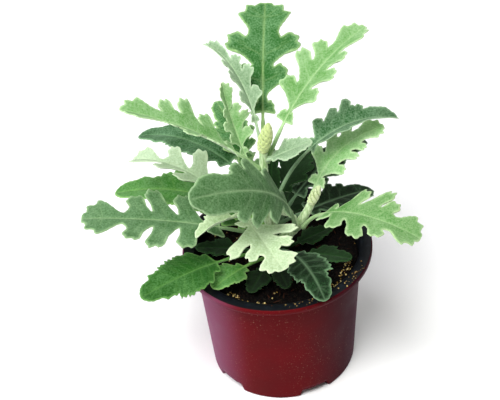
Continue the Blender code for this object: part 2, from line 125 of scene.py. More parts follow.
# Each lamp's place, the width of its round face, its power in watts and its colour.
LAMPS = {
    "key_lamp": ((-230.0, -400.0, 950.0), 600.0, 12.5, (1.0, 1.0, 1.0)),
    "side_lamp": ((-900.0, 20.0, 260.0), 500.0, 4.2, (0.85, 0.82, 1.0)),
    "back_lamp": ((500.0, 600.0, 800.0), 700.0, 3.8, (1.0, 1.0, 1.0)),
}
world = bpy.data.worlds.new("studio")
world.use_nodes = True
ray = add_node(world.node_tree, "TexCoord", {}).outputs["Generated"]
ray_parts = add_node(world.node_tree, "SeparateXYZ", {"Vector": ray})
brightness = add_node(world.node_tree, "MapRange", {
    "Value": ray_parts.outputs["X"], "From Min": -1.0, "From Max": 0.8,
    "To Min": ROOM_LIGHT_LEFT, "To Max": ROOM_LIGHT_RIGHT})
feed(world.node_tree.nodes["Background"], {"Color": (1.0, 1.0, 1.0, 1.0), "Strength": brightness})
bpy.context.scene.world = world
for lamp_name, (lamp_place, lamp_width, lamp_power, lamp_colour) in LAMPS.items():
    lamp_data = bpy.data.lights.new(lamp_name, "AREA")
    lamp_data.shape = "DISK"
    lamp_data.size = lamp_width * MM
    lamp_data.energy = lamp_power
    lamp_data.color = lamp_colour
    lamp = bpy.data.objects.new(lamp_name, lamp_data)
    lamp.location = Vector(lamp_place) * MM
    lamp.rotation_euler = (CAMERA_TARGET - Vector(lamp_place)).to_track_quat("-Z", "Y").to_euler()
    bpy.context.scene.collection.objects.link(lamp)
paper = new_material("white_paper", PAPER, 0.9, {"Specular IOR Level": 0.1})[0]
floor_mesh = bpy.data.meshes.new("floor")
corners = np.array([(-1, -1, 0), (1, -1, 0), (1, 1, 0), (-1, 1, 0)]) * FLOOR_HALF * MM
floor_mesh.from_pydata(corners.tolist(), [], [(0, 1, 2, 3)])
floor_mesh.materials.append(paper)
floor = bpy.data.objects.new("floor", floor_mesh)
bpy.context.scene.collection.objects.link(floor)


# The pot is a thin shell of polypropylene, thermoformed from a sheet that is maroon outside and black inside.
# It has a wide flat rim with a short skirt, and five drain notches at the corner of wall and floor.
def grid_faces(rows, columns):
    """Quads of a grid of points stored row by row, whose last column is joined to its first."""
    row, column = np.meshgrid(np.arange(rows - 1), np.arange(columns), indexing="ij")
    after = (column + 1) % columns
    corners = [row * columns + column, row * columns + after,
               (row + 1) * columns + after, (row + 1) * columns + column]
    return np.stack([corner.ravel() for corner in corners], -1)


def add_piece(name, points, faces, materials, replaces=(), marks=None, face_material=None):
    """A smooth piece from points in millimetres, with its doubles merged and its faces pointing outwards.

    marks, four numbers a point, become the colour attribute "marks". face_material is each face's material.
    """
    mesh = bpy.data.meshes.new(name)
    mesh.from_pydata((np.asarray(points).reshape(-1, 3) * MM).tolist(), [], np.asarray(faces).tolist())
    for material in materials:
        mesh.materials.append(material)
    if marks is not None:
        layer = mesh.attributes.new("marks", "FLOAT_COLOR", "POINT")
        layer.data.foreach_set("color", np.ascontiguousarray(marks, dtype=np.float32).ravel())
    if face_material is not None:
        mesh.polygons.foreach_set("material_index", np.asarray(face_material, dtype=np.int32))
    form = bmesh.new()
    form.from_mesh(mesh)
    bmesh.ops.remove_doubles(form, verts=form.verts, dist=1e-6)
    bmesh.ops.recalc_face_normals(form, faces=form.faces)
    form.to_mesh(mesh)
    form.free()
    mesh.shade_smooth()
    piece = bpy.data.objects.new(name, mesh)
    bpy.context.scene.collection.objects.link(piece)
    if replaces:
        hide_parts(*replaces)
    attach(piece, "root")
    return piece


def smoothstep(low, high, x):
    """0 below low, 1 above high, and 3t**2 - 2t**3 between them."""
    t = np.clip((x - low) / (high - low), 0.0, 1.0)
    return t * t * (3.0 - 2.0 * t)


POT_HEIGHT = 80.0
RIM_RADIUS = 52.5
RIM_WIDTH = 5.0
RIM_SKIRT = 3.2
WALL_TOP_RADIUS = 46.4
WALL_FOOT_RADIUS = 41.2
SHELL = 1.1
NOTCH_COUNT = 5
NOTCH_FIRST = -139.0
NOTCH_WIDTH = 19.0
NOTCH_HEIGHT = 5.8
NOTCH_DEPTH = 7.0
NOTCH_CHEEK = 2.4
INNER_FLOOR = 9.0
POT_STEPS = 360
MAROON = "#6d1521"
LINER_BLACK = "#06090f"

pot_angle = np.arange(POT_STEPS) * 2 * math.pi / POT_STEPS
notch_step = 2 * math.pi / NOTCH_COUNT
from_notch = (pot_angle - math.radians(NOTCH_FIRST) + notch_step / 2) % notch_step - notch_step / 2
from_notch = np.abs(from_notch) * WALL_FOOT_RADIUS
notch = 1.0 - smoothstep(NOTCH_WIDTH / 2 - NOTCH_CHEEK, NOTCH_WIDTH / 2, from_notch)

# Section of the shell, from under the middle of the floor, up outside, over the rim and down inside.
# Each point: radius, height, and up to the rim also how far a notch lifts it and how far it draws it in.
WALL_ROWS = 26
FOOT_FADE = 14.0
under_rim = POT_HEIGHT - SHELL
skirt_foot = POT_HEIGHT - RIM_SKIRT
inner_wall_top = WALL_TOP_RADIUS - SHELL
underside = [
    (0.0, 0.0, 0, 0), (20.0, 0.0, 0, 0), (32.5, 0.0, 0, 0), (WALL_FOOT_RADIUS - 1.1, 0.0, 0, 1),
    (WALL_FOOT_RADIUS - 1.0, 0.0, 1, 1), (WALL_FOOT_RADIUS - 0.9, 0.0, 1, 0),
    (WALL_FOOT_RADIUS - 0.35, 0.12, 1, 0), (WALL_FOOT_RADIUS, 0.5, 1, 0),
]
wall_z = np.linspace(1.0, under_rim - 1.2, WALL_ROWS)
wall_radius = WALL_FOOT_RADIUS + (WALL_TOP_RADIUS - WALL_FOOT_RADIUS) * wall_z / under_rim
wall_lift = np.clip(1 - wall_z / FOOT_FADE, 0, 1) ** 2
wall = np.stack([wall_radius, wall_z, wall_lift, np.zeros(WALL_ROWS)], -1)
rim = [
    (WALL_TOP_RADIUS + 0.3, under_rim - 0.4), (WALL_TOP_RADIUS + 1.0, under_rim),
    (RIM_RADIUS - SHELL - 0.4, under_rim), (RIM_RADIUS - SHELL, under_rim - 0.4),
    (RIM_RADIUS - SHELL, skirt_foot + 0.2), (RIM_RADIUS - SHELL / 2, skirt_foot),
    (RIM_RADIUS - 0.05, skirt_foot + 0.25), (RIM_RADIUS, POT_HEIGHT - 1.6),
    (RIM_RADIUS - 0.03, POT_HEIGHT - 0.7), (RIM_RADIUS - 0.25, POT_HEIGHT - 0.2),
]
inside = [
    (RIM_RADIUS - 0.7, POT_HEIGHT), (RIM_RADIUS - RIM_WIDTH + 0.6, POT_HEIGHT),
    (RIM_RADIUS - RIM_WIDTH - 0.2, POT_HEIGHT - 0.15), (inner_wall_top + 0.5, POT_HEIGHT - 1.0),
    (inner_wall_top, POT_HEIGHT - 2.0), (inner_wall_top - 0.5, POT_HEIGHT - 8.0),
    (WALL_FOOT_RADIUS - SHELL + 0.5, INNER_FLOOR), (0.0, INNER_FLOOR),
]
section = np.vstack([underside, wall, np.pad(rim + inside, ((0, 0), (0, 2)))])
pot_radius = section[:, 0, None] - NOTCH_DEPTH * notch * section[:, 3, None]
lifted = np.clip(NOTCH_HEIGHT - section[:, 1, None], 0, None)
pot_z = section[:, 1, None] + lifted * notch * section[:, 2, None]
# So thin a wall is never quite round: it waves by a fifth of a millimetre.
pot_radius *= 1.0 + 0.004 * np.sin(2 * pot_angle + 0.6) + 0.0015 * np.sin(5 * pot_angle)
pot_points = np.stack([pot_radius * np.cos(pot_angle), pot_radius * np.sin(pot_angle), pot_z], -1)
pot_faces = grid_faces(len(section), POT_STEPS)
pot_face_material = np.arange(len(pot_faces)) // POT_STEPS >= len(section) - len(inside)


def pattern_scale(size):
    """Scale of a noise whose lumps are a size in millimetres apart: one over the size in metres."""
    return 1.0 / (size * MM)


# Sockets of a colour Mix node, which has several of each name: share of the second colour, and the colours.
SHARE, FIRST, SECOND = 0, 6, 7

# Maroon outside: the dull sheen of a thermoformed sheet, with clouds of tone, fine dust, and painted sheen
# and painted shade on its sides.
CLOUD_SIZE = 22.2
SKIN_SIZE = 2.38
pot_maroon, tree, shader, where = new_material("thermoformed_maroon_polypropylene", MAROON, 0.38, {
    "IOR": 1.49, "Specular IOR Level": 0.04, "Sheen Weight": 0.09, "Sheen Roughness": 0.30,
    "Sheen Tint": linear("#b8609c")})
cloud = add_node(tree, "TexNoise", {
    "Vector": where, "Scale": pattern_scale(CLOUD_SIZE), "Detail": 4.0, "Roughness": 0.6})
shade = add_node(tree, "MapRange", {"Value": cloud, "From Min": 0.3, "From Max": 0.7})
tone = add_node(tree, "Mix", {SHARE: shade, FIRST: linear("#53070b"), SECOND: linear("#5e0a10")})
# Painted light: the left side is mixed towards mauve as a painted sheen, and the right side towards dark
# purple as painted shade.
sides = add_node(tree, "SeparateXYZ", {"Vector": where})
painted_sheen_share = add_node(tree, "MapRange", {
    "Value": sides.outputs["X"], "From Min": -0.018, "From Max": -0.048, "To Max": 0.75},
    interpolation_type="SMOOTHSTEP")
# Painted shade: the right side is darkened towards dark purple.
painted_shade_share = add_node(tree, "MapRange", {
    "Value": sides.outputs["X"], "From Min": 0.006, "From Max": 0.042, "To Max": 0.92},
    interpolation_type="SMOOTHSTEP")
mauve = add_node(tree, "Mix", {SHARE: painted_sheen_share, FIRST: tone, SECOND: linear("#84506e")})
wall_tone = add_node(tree, "Mix", {SHARE: painted_shade_share, FIRST: mauve, SECOND: linear("#2b0411")})
# Dust is drawn as specks a third of a millimetre wide, so that it shows, in patches where watering left it.
SPECK_SIZE = 0.833
DUST_PATCH_SIZE = 35.7
specks = add_node(tree, "TexNoise", {"Vector": where, "Scale": pattern_scale(SPECK_SIZE), "Detail": 2.0})
speck = add_node(tree, "MapRange", {"Value": specks, "From Min": 0.64, "From Max": 0.76})
patches = add_node(tree, "TexNoise", {
    "Vector": where, "Scale": pattern_scale(DUST_PATCH_SIZE), "Detail": 2.0})
patch = add_node(tree, "MapRange", {"Value": patches, "From Min": 0.35, "From Max": 0.65, "To Max": 0.7})
dusty = add_node(tree, "Math", {0: speck, 1: patch}, operation="MULTIPLY")
coat = add_node(tree, "Mix", {SHARE: dusty, FIRST: wall_tone, SECOND: linear("#93705c")})
grain = add_node(tree, "MapRange", {
    "Value": cloud, "From Min": 0.3, "From Max": 0.7, "To Min": 0.42, "To Max": 0.60})
skin = add_node(tree, "TexNoise", {"Vector": where, "Scale": pattern_scale(SKIN_SIZE), "Detail": 3.0})
bump = add_node(tree, "Bump", {"Height": skin, "Strength": 0.1, "Distance": 0.4 * MM})
feed(shader, {"Base Color": coat, "Roughness": grain, "Normal": bump})

# Blue-black inside and on top of the rim: the sheet's other face, scuffed and a little dusty.
SCUFF_SIZE = 3.85
pot_liner, tree, shader, where = new_material("black_polypropylene_liner", LINER_BLACK, 0.5, {
    "IOR": 1.49, "Specular IOR Level": 0.12})
scuffs = add_node(tree, "TexNoise", {
    "Vector": where, "Scale": pattern_scale(SCUFF_SIZE), "Detail": 5.0, "Roughness": 0.7})
scuff = add_node(tree, "MapRange", {"Value": scuffs, "From Min": 0.52, "From Max": 0.72, "To Max": 0.7})
liner = add_node(tree, "Mix", {SHARE: scuff, FIRST: linear(LINER_BLACK), SECOND: linear("#171e28")})
feed(shader, {"Base Color": liner})
add_piece("pot_shell", pot_points, pot_faces, [pot_maroon, pot_liner], ["pot"],
          face_material=pot_face_material)


# The soil is a peat potting mix: dark, loose and lumpy, pressed down by watering, and lower at the wall.
# Crumbs, slivers of bark and yellow grains of grit and fertiliser lie on it, most of them near the rim.
def lumps(x, y, size, seed):
    """Smooth random heights from -1 to 1: random numbers on a lattice size apart, blended by smoothstep."""
    table = np.random.default_rng(seed).uniform(-1, 1, (256, 256))
    column, row = np.floor(x / size).astype(int) + 128, np.floor(y / size).astype(int) + 128
    u, v = smoothstep(0, 1, x / size + 128 - column), smoothstep(0, 1, y / size + 128 - row)
    low = table[column, row] * (1 - u) + table[column + 1, row] * u
    high = table[column, row + 1] * (1 - u) + table[column + 1, row + 1] * u
    return low * (1 - v) + high * v


SOIL_TOP = 72.0
SOIL_RADIUS = 44.6
SOIL_EDGE_DROP = 1.1
SOIL_FOOT = 10.0
SOIL_RINGS = 90
SOIL_STEPS = 300


def soil_height(x, y):
    """Height of the soil: three sizes of lumps on a level bed that sinks near the wall."""
    lumpy = 0.8 * lumps(x, y, 8.0, 21) + 0.5 * lumps(x, y, 3.1, 22) + 0.35 * lumps(x, y, 1.3, 23)
    return SOIL_TOP + lumpy - SOIL_EDGE_DROP * smoothstep(0.86, 1.0, np.hypot(x, y) / SOIL_RADIUS)


soil_angle = np.arange(SOIL_STEPS) * 2 * math.pi / SOIL_STEPS
ring_radius = np.linspace(0.0, SOIL_RADIUS, SOIL_RINGS)[:, None]
soil_x, soil_y = ring_radius * np.cos(soil_angle), ring_radius * np.sin(soil_angle)
soil_top = np.stack([soil_x, soil_y, soil_height(soil_x, soil_y)], -1)
foot_ring = soil_top[-1] * (0.9, 0.9, 0.0) + (0.0, 0.0, SOIL_FOOT)
soil_points = np.concatenate([soil_top, [foot_ring, foot_ring * (0.0, 0.0, 1.0)]])

# Damp peat: nearly black, with brown fibres about a millimetre across.
FIBRE_SIZE = 2.0
peat, tree, shader, where = new_material("damp_peat", "#0c0806", 0.9, {"Specular IOR Level": 0.1})
fibres = add_node(tree, "TexNoise", {
    "Vector": where, "Scale": pattern_scale(FIBRE_SIZE), "Detail": 5.0, "Roughness": 0.7})
fibre = add_node(tree, "MapRange", {"Value": fibres, "From Min": 0.48, "From Max": 0.72})
brown = add_node(tree, "Mix", {SHARE: fibre, FIRST: linear("#040303"), SECOND: linear("#1b110b")})
crumble = add_node(tree, "Bump", {"Height": fibres, "Strength": 0.8, "Distance": 0.8 * MM})
feed(shader, {"Base Color": brown, "Normal": crumble})
add_piece("soil_bed", soil_points, grid_faces(len(soil_points), SOIL_STEPS), [peat], ["soil"])


def scattered(places, sizes, seed):
    """Rough twenty-sided lumps, one at each place, turned at random, each with its own three half sizes.

    Its points are (0, ±1, ±g), (±1, ±g, 0) and (±g, 0, ±1) over their length, g being the golden ratio.
    Gives the points, the faces, and the number of each point's lump.
    """
    draw = np.random.default_rng(seed)
    g = (1 + 5 ** 0.5) / 2
    base = np.array([(-1, g, 0), (1, g, 0), (-1, -g, 0), (1, -g, 0), (0, -1, g), (0, 1, g),
                     (0, -1, -g), (0, 1, -g), (g, 0, -1), (g, 0, 1), (-g, 0, -1), (-g, 0, 1)])
    base /= math.hypot(1, g)
    sides = np.array([(0, 11, 5), (0, 5, 1), (0, 1, 7), (0, 7, 10), (0, 10, 11), (1, 5, 9), (5, 11, 4),
                      (11, 10, 2), (10, 7, 6), (7, 1, 8), (3, 9, 4), (3, 4, 2), (3, 2, 6), (3, 6, 8),
                      (3, 8, 9), (4, 9, 5), (2, 4, 11), (6, 2, 10), (8, 6, 7), (9, 8, 1)])
    count = len(places)
    lump = base * draw.uniform(0.75, 1.1, (count, 12, 1)) * sizes[:, None, :]
    turn, tilt = draw.uniform(0, 2 * math.pi, (2, count, 1)) * np.array([1.0, 0.12])[:, None, None]
    x, y, z = lump[..., 0], lump[..., 1], lump[..., 2]
    y, z = y * np.cos(tilt) - z * np.sin(tilt), y * np.sin(tilt) + z * np.cos(tilt)
    x, y = x * np.cos(turn) - y * np.sin(turn), x * np.sin(turn) + y * np.cos(turn)
    points = np.stack([x, y, z], -1) + places[:, None, :]
    faces = sides[None] + 12 * np.arange(count)[:, None, None]
    return points.reshape(-1, 3), faces.reshape(-1, 3), np.repeat(np.arange(count), 12)


def on_soil(angle, radius, sink):
    """Places on the soil at angles in degrees and radii, sunk in by a little."""
    x, y = radius * np.cos(np.radians(angle)), radius * np.sin(np.radians(angle))
    return np.stack([x, y, soil_height(x, y) - sink], -1)


def speckled_bits(name, dark, pale, roughness, grain_size, detail, constants):
    """Many small bits: the first mark, each bit's own tone or a bud's painted shade, and a fine noise mix a
    dark and a pale colour.
    """
    material, tree, shader, where = new_material(name, pale, roughness, constants)
    marks = add_node(tree, "Attribute", {}, attribute_name="marks")
    split = add_node(tree, "SeparateColor", {"Color": marks})
    grit = add_node(tree, "TexNoise", {"Vector": where, "Scale": pattern_scale(grain_size), "Detail": detail})
    both = add_node(tree, "Math", {0: grit, 1: 0.5, 2: split.outputs["Red"]},
                    operation="MULTIPLY_ADD", use_clamp=True)
    mixed = add_node(tree, "Mix", {SHARE: both, FIRST: linear(dark), SECOND: linear(pale)})
    feed(shader, {"Base Color": mixed})
    return material


GRIT_SIZE = 0.667


def add_loose(name, places, sizes, seed, material_name, dark, pale):
    """One piece of many loose bits, matt mineral or wood, each with a random shade of its own."""
    points, faces, number = scattered(places, sizes, seed)
    shade = np.random.default_rng(seed + 1).uniform(0, 1, len(places)) ** 1.5
    marks = np.zeros((len(points), 4))
    marks[:, 0] = shade[number] - 0.25
    marks[:, 3] = 1.0
    material = speckled_bits(material_name, dark, pale, 0.9, GRIT_SIZE, 2.0, {"Specular IOR Level": 0.1})
    return add_piece(name, points, faces, [material], marks=marks)


scatter = np.random.default_rng(40)
CRUMBS = 1500
crumb_radius = (SOIL_RADIUS - 0.8) * np.sqrt(scatter.uniform(0, 1, CRUMBS))
crumb_places = on_soil(scatter.uniform(0, 360, CRUMBS), crumb_radius, 0.1)
crumb_sizes = scatter.uniform(0.35, 1.15, (CRUMBS, 1)) * scatter.uniform(0.7, 1.0, (CRUMBS, 3))
add_loose("peat_crumbs", crumb_places, crumb_sizes, 41, "peat_crumb", "#050403", "#1b110d")

SLIVERS = 150
sliver_radius = (SOIL_RADIUS - 3.0) * np.sqrt(scatter.uniform(0.1, 1, SLIVERS))
sliver_places = on_soil(scatter.uniform(0, 360, SLIVERS), sliver_radius, -0.2)
sliver_sizes = np.stack([scatter.uniform(1.0, 3.6, SLIVERS), scatter.uniform(0.25, 0.6, SLIVERS),
                         scatter.uniform(0.2, 0.35, SLIVERS)], -1)
add_loose("bark_slivers", sliver_places, sliver_sizes, 42, "shredded_bark", "#1a0f0a", "#4c2c1e")

# The grains gather where watering washes them: at the front on the left and at the right.
GRAINS = 190
grain_middle = scatter.choice([-118.0, -30.0, 0.0], GRAINS, p=[0.42, 0.30, 0.28])
grain_spread = np.where(grain_middle == 0.0, 180.0, 17.0)
grain_angle = grain_middle + grain_spread * scatter.uniform(-1, 1, GRAINS)
grain_radius = np.where(grain_middle == 0.0, 44.0 * np.sqrt(scatter.uniform(0, 1, GRAINS)),
                        scatter.uniform(38.0, 44.2, GRAINS))
grain_places = on_soil(grain_angle, grain_radius, -0.25)
grain_sizes = scatter.uniform(0.35, 0.75, (GRAINS, 1)) * scatter.uniform(0.7, 1.0, (GRAINS, 3))
add_loose("yellow_grains", grain_places, grain_sizes, 43, "sandy_grain", "#8a6a2c", "#e3cf8e")

# A pinch of the mix was spilt on the rim when the pot was filled.
SPILT = 46
spilt_angle = np.radians(np.where(np.arange(SPILT) % 3 == 0, -80.0, -38.0) + scatter.normal(0, 9.0, SPILT))
spilt_radius = scatter.uniform(47.6, 51.6, SPILT)
spilt_places = np.stack([spilt_radius * np.cos(spilt_angle), spilt_radius * np.sin(spilt_angle),
                         np.full(SPILT, POT_HEIGHT + 0.15)], -1)
spilt_sizes = scatter.uniform(0.25, 0.6, (SPILT, 1)) * scatter.uniform(0.7, 1.0, (SPILT, 3))
add_loose("spilt_mix", spilt_places, spilt_sizes, 44, "spilt_mix", "#4a2f20", "#b89a5c")


# The stem is soft and green, covered in short white felt, and thicker where leaves and side shoots join it.
# It rises from the soil in one piece with its right and left side shoots.
def smooth_curve(points, per_span, before=None, after=None):
    """A curve through points: cubic spans, with the slope at a point that of the chord of its two neighbours.

    before and after are the points that set the slope at the two ends; without them the ends run straight on.
    """
    points = np.asarray(points, float)
    before = 2 * points[0] - points[1] if before is None else np.asarray(before, float)
    after = 2 * points[-1] - points[-2] if after is None else np.asarray(after, float)
    chain = np.vstack([before, points, after])
    gap = np.linalg.norm(np.diff(chain, axis=0), axis=1)
    slope = (chain[2:] - chain[:-2]) / (gap[1:] + gap[:-1])[:, None]
    t = np.linspace(0, 1, per_span, endpoint=False)[None, :, None]
    start, end, span = points[:-1, None], points[1:, None], gap[1:-1, None, None]
    curve = (2 * t ** 3 - 3 * t ** 2 + 1) * start + (t ** 3 - 2 * t ** 2 + t) * span * slope[:-1, None]
    curve = curve + (3 * t ** 2 - 2 * t ** 3) * end + (t ** 3 - t ** 2) * span * slope[1:, None]
    return np.vstack([curve.reshape(-1, points.shape[1]), points[-1]])


def tube_rings(path, radius, sides):
    """Rings round a path, radius[k] wide at point k, with a point at each end: side cos a + other sin a."""
    ahead = np.gradient(path, axis=0)
    ahead /= np.linalg.norm(ahead, axis=1)[:, None]
    side = np.cross(ahead, (0.0, 1.0, 0.0))
    side /= np.linalg.norm(side, axis=1)[:, None]
    other = np.cross(ahead, side)
    turn = np.arange(sides) * 2 * math.pi / sides
    round_about = side[:, None] * np.cos(turn)[:, None] + other[:, None] * np.sin(turn)[:, None]
    rings = path[:, None] + np.asarray(radius)[:, None, None] * round_about
    first, last = np.repeat(path[:1], sides, 0), np.repeat(path[-1:], sides, 0)
    return np.concatenate([first[None], rings, last[None]])


SHOOTS = {
    "main": ([(-1.6, -1.3, 64.0), (-3.0, -1.2, 100.0), (-4.4, -0.8, 125.0), (-3.8, 0.0, 145.5)], 3.3, 2.0),
    "right": ([(-1.6, -1.3, 82.0), (9.2, -3.0, 92.5), (16.0, -5.0, 104.5), (19.6, -5.0, 112.0)], 2.7, 2.1),
    "left": ([(-2.4, -1.3, 84.0), (-9.0, -3.5, 92.5), (-14.2, -6.0, 103.0), (-18.6, -7.5, 113.0)], 2.5, 1.9),
}
STEM_SIDES = 28
STEM_STEPS = 24
stem_points, stem_faces, stem_total = [], [], 0
for shoot, (points, low_radius, high_radius) in SHOOTS.items():
    path = smooth_curve(points, STEM_STEPS)
    share = np.linspace(0, 1, len(path))
    # Joints of old and young leaves swell the shoot every few millimetres.
    swell = 1.0 + 0.07 * np.sin(path[:, 2] * 1.1) ** 2 + 0.03 * lumps(path[:, 2], path[:, 0], 3.0, 50)
    rings = tube_rings(path, (low_radius + (high_radius - low_radius) * share) * swell, STEM_SIDES)
    stem_points.append(rings.reshape(-1, 3))
    stem_faces.append(grid_faces(len(rings), STEM_SIDES) + stem_total)
    stem_total += len(stem_points[-1])

# Felted green stem: white hairs lie along it, so that the green shows through in short streaks.
STREAK_WIDTH = 1.11
STREAK_LENGTH = 4.55
FELT_SHEEN = {"Sheen Weight": 0.3, "Sheen Roughness": 0.6}
felted_stem, tree, shader, where = new_material("felted_green_stem", "#a9c48c", 0.85, FELT_SHEEN)
drawn_out = add_node(tree, "Mapping", {
    "Vector": where, "Scale": [pattern_scale(size) for size in (STREAK_WIDTH, STREAK_WIDTH, STREAK_LENGTH)]})
streaks = add_node(tree, "TexNoise", {"Vector": drawn_out, "Scale": 1.0, "Detail": 4.0})
streak = add_node(tree, "MapRange", {"Value": streaks, "From Min": 0.35, "From Max": 0.65})
felt = add_node(tree, "Mix", {SHARE: streak, FIRST: linear("#7fa45f"), SECOND: linear("#c9dcae")})
hairy = add_node(tree, "Bump", {"Height": streaks, "Strength": 0.4, "Distance": 0.3 * MM})
feed(shader, {"Base Color": felt, "Normal": hairy})
add_piece("stem_with_shoots", np.vstack(stem_points), np.vstack(stem_faces), [felted_stem],
          ["stem"])


# Each shoot ends in a bud: dozens of unopened leaves packed round a short axis, yellow-green under felt.
# Each little leaf is a blunt pad, a golden angle on from the one below and turned up towards the tip.
GOLDEN_ANGLE = math.radians(137.508)
PAD_ROWS, PAD_SIDES = 9, 10
CORE_ROWS, CORE_SIDES = 12, 16
FUZZ_SIZE = 0.714
# Each bud's shoot, height, radius, lean along X and Y, number of pads, and the colours of its painted shade
# and painted light.
BUDS = {
    "growing_tip_main": ("main", 18.6, 4.1, 3.6, 0.0, 64, "#678833", "#bccc84"),
    "growing_tip_right": ("right", 14.4, 3.1, 4.5, -2.0, 40, "#8fa55a", "#ccd9a6"),
    "growing_tip_left": ("left", 7.4, 2.7, -1.5, -1.0, 26, "#86a04c", "#c6d69a"),
}
pad_u, pad_a = np.meshgrid(np.linspace(0, math.pi, PAD_ROWS),
                           np.arange(PAD_SIDES) * 2 * math.pi / PAD_SIDES, indexing="ij")
pad = np.stack([np.sin(pad_u) * np.cos(pad_a), np.sin(pad_u) * np.sin(pad_a), -np.cos(pad_u)], -1)
pad = pad.reshape(-1, 3)


def bud_shape(height, radius, lean_x, lean_y, pads):
    """Points, faces and marks of a bud: pads round an axis that leans, and a core that fills it between them.

    Pad k of n stands at up = (k + 0.5) / n of the height, turned by k golden angles. The bud is
    radius sin(pi (0.16 + 0.80 up)) ** 0.55 wide there, and the pads get smaller and lean in towards its tip.
    """
    up = (np.arange(pads) + 0.5) / pads
    turn = np.arange(pads) * GOLDEN_ANGLE
    body = radius * np.sin(math.pi * np.clip(0.16 + 0.80 * up, 0, 1)) ** 0.55
    ring = (body - 0.35 * radius * (1 - 0.4 * up)).clip(0)
    middle = np.stack([lean_x * up + ring * np.cos(turn), lean_y * up + ring * np.sin(turn),
                       height * up * 0.9 + 0.6], -1)
    # A pad's axes: out from the bud, round it, and up along it, leaning out at the foot and in at the tip.
    lean = np.radians(38.0 - 55.0 * up)
    out = np.stack([np.cos(turn) * np.cos(lean), np.sin(turn) * np.cos(lean), -np.sin(lean)], -1)
    across = np.stack([-np.sin(turn), np.cos(turn), np.zeros(pads)], -1)
    along = np.cross(out, across)
    shape = pad[None] * (radius * (0.42 - 0.16 * up))[:, None, None] * (0.62, 1.0, 1.35)
    axes = np.stack([out, across, along], 1)
    points = middle[:, None] + np.einsum("pqk,pkc->pqc", shape, axes)
    core_z = np.linspace(0, 1, CORE_ROWS)
    core_path = np.stack([lean_x * core_z, lean_y * core_z, height * 0.86 * core_z], -1)
    core = tube_rings(core_path, 0.72 * radius * np.sin(math.pi * (0.18 + 0.78 * core_z)) ** 0.6, CORE_SIDES)
    pad_faces = grid_faces(PAD_ROWS, PAD_SIDES)[None] + len(pad) * np.arange(pads)[:, None, None]
    core_faces = grid_faces(len(core), CORE_SIDES) + pads * len(pad)
    # The first mark is painted light on the outer end of each pad and painted shade where pads meet.
    marks = np.zeros((pads * len(pad) + len(core) * CORE_SIDES, 4))
    marks[:pads * len(pad), 0] = np.tile(0.5 + 0.5 * pad[:, 0], pads)
    marks[:, 3] = 1.0
    return (np.vstack([points.reshape(-1, 3), core.reshape(-1, 3)]),
            np.vstack([pad_faces.reshape(-1, 4), core_faces]), marks)


for bud_name, (shoot, height, radius, lean_x, lean_y, pads, shaded, lit) in BUDS.items():
    bud_points, bud_faces, bud_marks = bud_shape(height, radius, lean_x, lean_y, pads)
    bud_foot = np.array(SHOOTS[shoot][0][-1]) - (0.0, 0.0, 0.6)
    # Painted light and painted shade: the bud's pale and dark colours are mixed by the first mark.
    bud_felt = speckled_bits("felted_bud_" + shoot, shaded, lit, 0.85, FUZZ_SIZE, 3.0, FELT_SHEEN)
    add_piece(bud_name.replace("growing_tip", "bud"), bud_points + bud_foot, bud_faces, [bud_felt],
              [bud_name], marks=bud_marks)


# The leaves are cut into lobes like an oak's, the lowest only scalloped, and covered in white felt, thin on
# old leaves. Each grows from its shoot on its own stalk, which runs on as a pale rib with side veins.
LEAF_EDGE = 0.7
PETIOLE_WIDTH = 2.3
PETIOLE_THICKNESS = 2.0
JOINT_GAP = 0.3
# Relief of a blade: rib and veins below it, the grooves above them, and the blisters between the veins.
RIB_RELIEF, VEIN_RELIEF = 0.75, 0.22
RIB_GROOVE, VEIN_GROOVE = 0.22, 0.10
BLISTER_HEIGHT, BLISTER_REACH = 0.30, 2.2
# Outline of one lobe: share of its length, share of its half width.
LOBE_SHAPES = {
    "oak": [(0.60, -0.80), (0.80, -1.02), (0.94, -0.72), (0.91, -0.32),
            (1.00, 0.10), (0.92, 0.52), (0.84, 0.92), (0.62, 0.82)],
    "blunt": [(0.82, -0.95), (0.96, -0.70), (1.00, 0.00), (0.96, 0.70), (0.84, 0.90)],
    "wavy": [(0.88, -0.70), (0.99, -0.05), (0.96, 0.66)],
}
# Outline of the end lobe: angle from the rib, share of its radius.
END_SHAPES = {
    "oak": [(88, 0.84), (70, 1.04), (56, 0.88), (40, 1.06), (24, 0.90), (13, 1.00), (0, 1.00)],
    "blunt": [(80, 0.92), (55, 1.00), (38, 0.94), (18, 1.00), (0, 1.00)],
    "wavy": [(76, 0.96), (48, 1.00), (22, 0.99), (0, 1.00)],
}
# Veins of a lobe: each one's end, as shares of the lobe's length and half width, and its start along it.
LOBE_VEINS = [(0.94, 0.05, 0.0), (0.80, -0.75, 0.35), (0.82, 0.70, 0.45)]
END_VEIN_ANGLES = np.radians([40.0, 70.0])
FIRST_FOOT = 0.02
# For each kind: room of the lobes and foot of the end lobe, as shares of the blade; narrowing of the lowest
# lobes; depth of the cuts; columns from rib to margin; and points of the margin between two of its outline.
KIND_FIELDS = ("room", "end_foot", "narrowing", "depth", "columns", "steps")
KINDS = {
    "oak": (0.70, 0.82, 0.68, 1.20, 9, 7),
    "blunt": (0.62, 0.74, 0.60, 1.10, 9, 9),
    "wavy": (0.62, 0.74, 0.50, 0.30, 8, 9),
}
HIGH_NARROWING = 0.30
END_WIDTH = 0.80
LOBE_STOUTNESS = 0.60
SLANT_CHANGE = 10.0
REACH_STRAY = 0.08
SLANT_STRAY = 3.0
RIB_STEPS = 60
FIRST_SEED = 100
